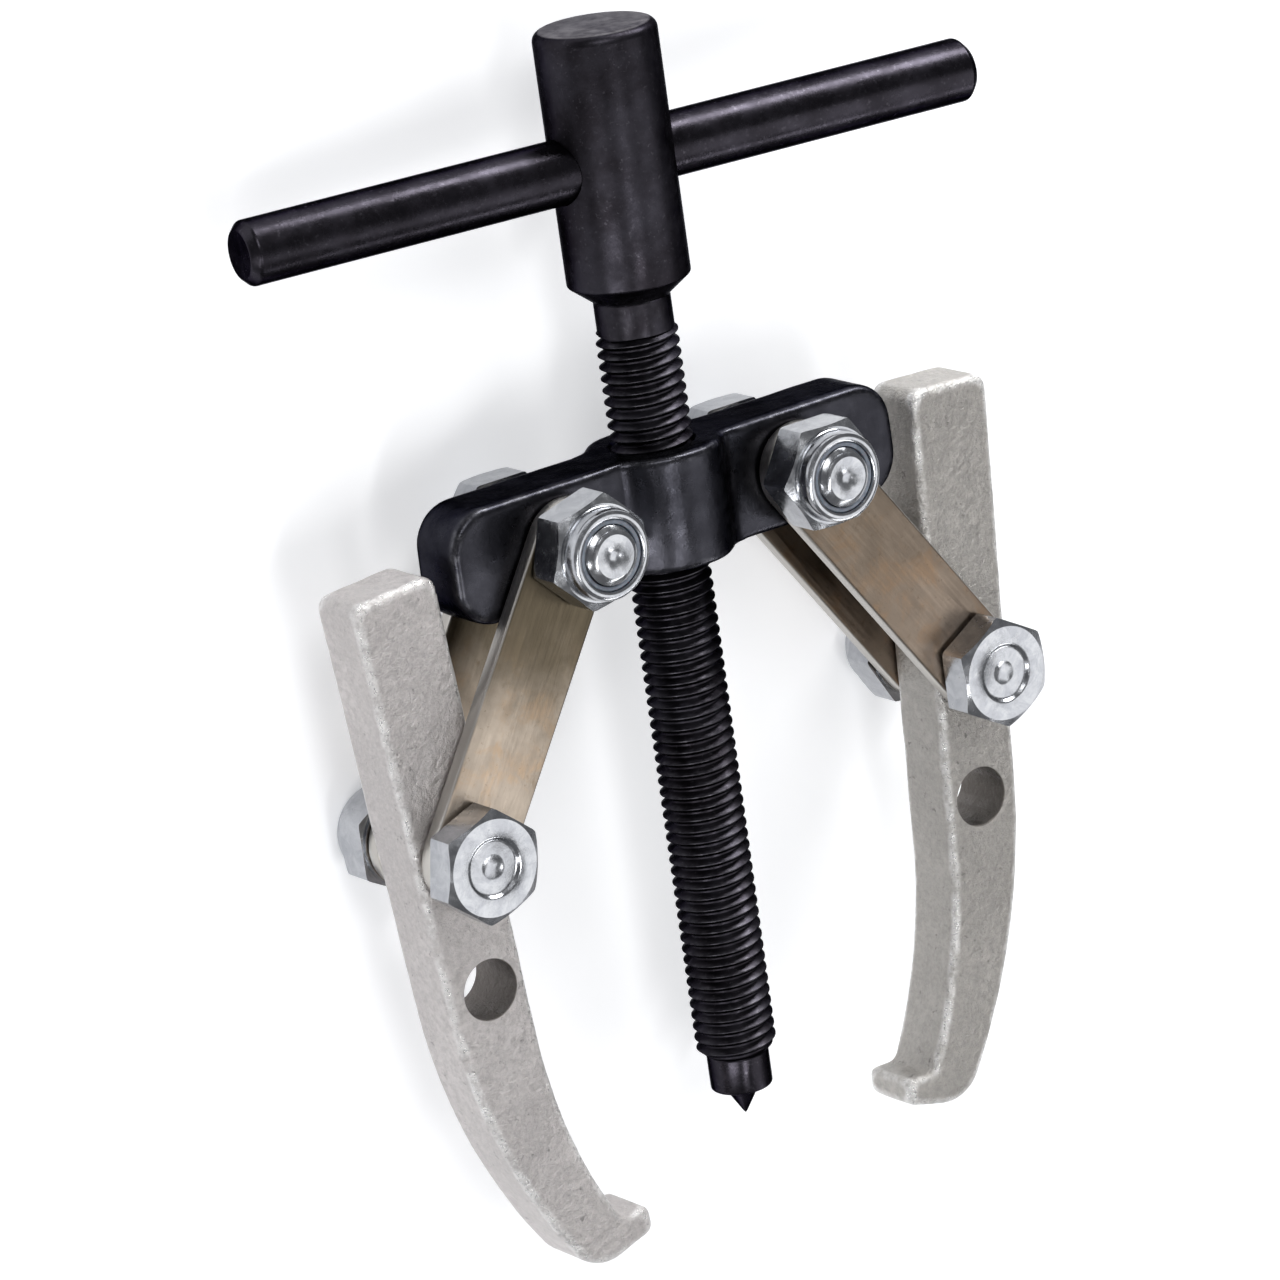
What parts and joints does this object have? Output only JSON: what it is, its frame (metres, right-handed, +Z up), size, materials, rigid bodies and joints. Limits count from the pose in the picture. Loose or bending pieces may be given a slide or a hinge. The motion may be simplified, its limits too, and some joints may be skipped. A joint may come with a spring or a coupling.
{
  "type": "gear puller",
  "caption": "Two-jaw gear puller: a tee-handled forcing screw through a crosshead, with paired straps carrying hooked jaws.",
  "frame": {"origin": "under the middle of the tool's box, on the plane of its lowest points, which are the rear ends of the jaw bolts", "axes": "the tool lies on its back: +X along the crosshead to the tool's right, +Y along the forcing screw towards the handle, +Z up, out of the tool's front"},
  "size_m": [0.1354, 0.2033, 0.0408],
  "materials": {
    "black_oxide": "black oxide, oiled, semi-gloss",
    "black_forging": "black, semi-gloss, over a forged surface",
    "nickel_forging": "satin nickel plate over a grainy forged surface",
    "strap_plate": "plated strip with a brownish yellow tint, satin",
    "bright_zinc": "bright zinc plate",
    "nylon": "natural grey nylon"
  },
  "bodies": {
    "crosshead": {"crosshead": "black_forging", "crosshead_bolt_left": "bright_zinc", "crosshead_nut_left": "bright_zinc", "crosshead_nut_insert_left": "nylon", "crosshead_bolt_right": "bright_zinc", "crosshead_nut_right": "bright_zinc", "crosshead_nut_insert_right": "nylon"},
    "tip": {"swivel_tip": "black_oxide"},
    "screw": {"forcing_screw": "black_oxide", "tee_handle": "black_oxide"},
    "left_links": {"strap_left_front": "strap_plate", "strap_left_rear": "strap_plate"},
    "left_pivot_bolt": {"jaw_bolt_left": "bright_zinc", "jaw_nut_left": "bright_zinc", "jaw_nut_insert_left": "nylon"},
    "left_jaw": {"jaw_left": "nickel_forging"},
    "right_links": {"strap_right_front": "strap_plate", "strap_right_rear": "strap_plate"},
    "right_pivot_bolt": {"jaw_bolt_right": "bright_zinc", "jaw_nut_right": "bright_zinc", "jaw_nut_insert_right": "nylon"},
    "right_jaw": {"jaw_right": "nickel_forging"}
  },
  "joints": [
    {"name": "screw_feed", "type": "slide", "parent": "crosshead", "child": "tip", "axis": [0, 1, 0], "range_m": [-0.01905, 0.08005]},
    {"name": "handle_turn", "type": "hinge", "parent": "tip", "child": "screw", "pos_m": [0, 0.0792, 0.0204], "axis": [0, 1, 0], "range_deg": [-3420, 14400]},
    {"name": "left_strap_swing", "type": "hinge", "parent": "crosshead", "child": "left_links", "pos_m": [-0.0237, 0.0215, 0.0204], "axis": [0, 0, -1], "range_deg": [0, 37.7]},
    {"name": "left_pivot_bolt_turn", "type": "hinge", "parent": "left_links", "child": "left_pivot_bolt", "pos_m": [-0.05223, -0.02364, 0.0204], "axis": [0, 0, -1], "range_deg": [-37.9, 0.2]},
    {"name": "left_jaw_tilt", "type": "hinge", "parent": "left_pivot_bolt", "child": "left_jaw", "pos_m": [-0.05223, -0.02364, 0.0204], "axis": [0, 0, 1], "range_deg": [-3, 14]},
    {"name": "right_strap_swing", "type": "hinge", "parent": "crosshead", "child": "right_links", "pos_m": [0.0237, 0.0215, 0.0204], "axis": [0, 0, 1], "range_deg": [0, 35]},
    {"name": "right_pivot_bolt_turn", "type": "hinge", "parent": "right_links", "child": "right_pivot_bolt", "pos_m": [0.05433, -0.02224, 0.0204], "axis": [0, 0, 1], "range_deg": [-35.2, 0.2]},
    {"name": "right_jaw_tilt", "type": "hinge", "parent": "right_pivot_bolt", "child": "right_jaw", "pos_m": [0.05433, -0.02224, 0.0204], "axis": [0, 0, -1], "range_deg": [-3.5, 17]}
  ],
  "couplings": [
    {"joint": "screw_feed", "follows": "handle_turn", "m_per_rad": 0.00031831},
    {"joint": "left_pivot_bolt_turn", "follows": "left_strap_swing", "ratio": -1},
    {"joint": "right_pivot_bolt_turn", "follows": "right_strap_swing", "ratio": -1}
  ]
}
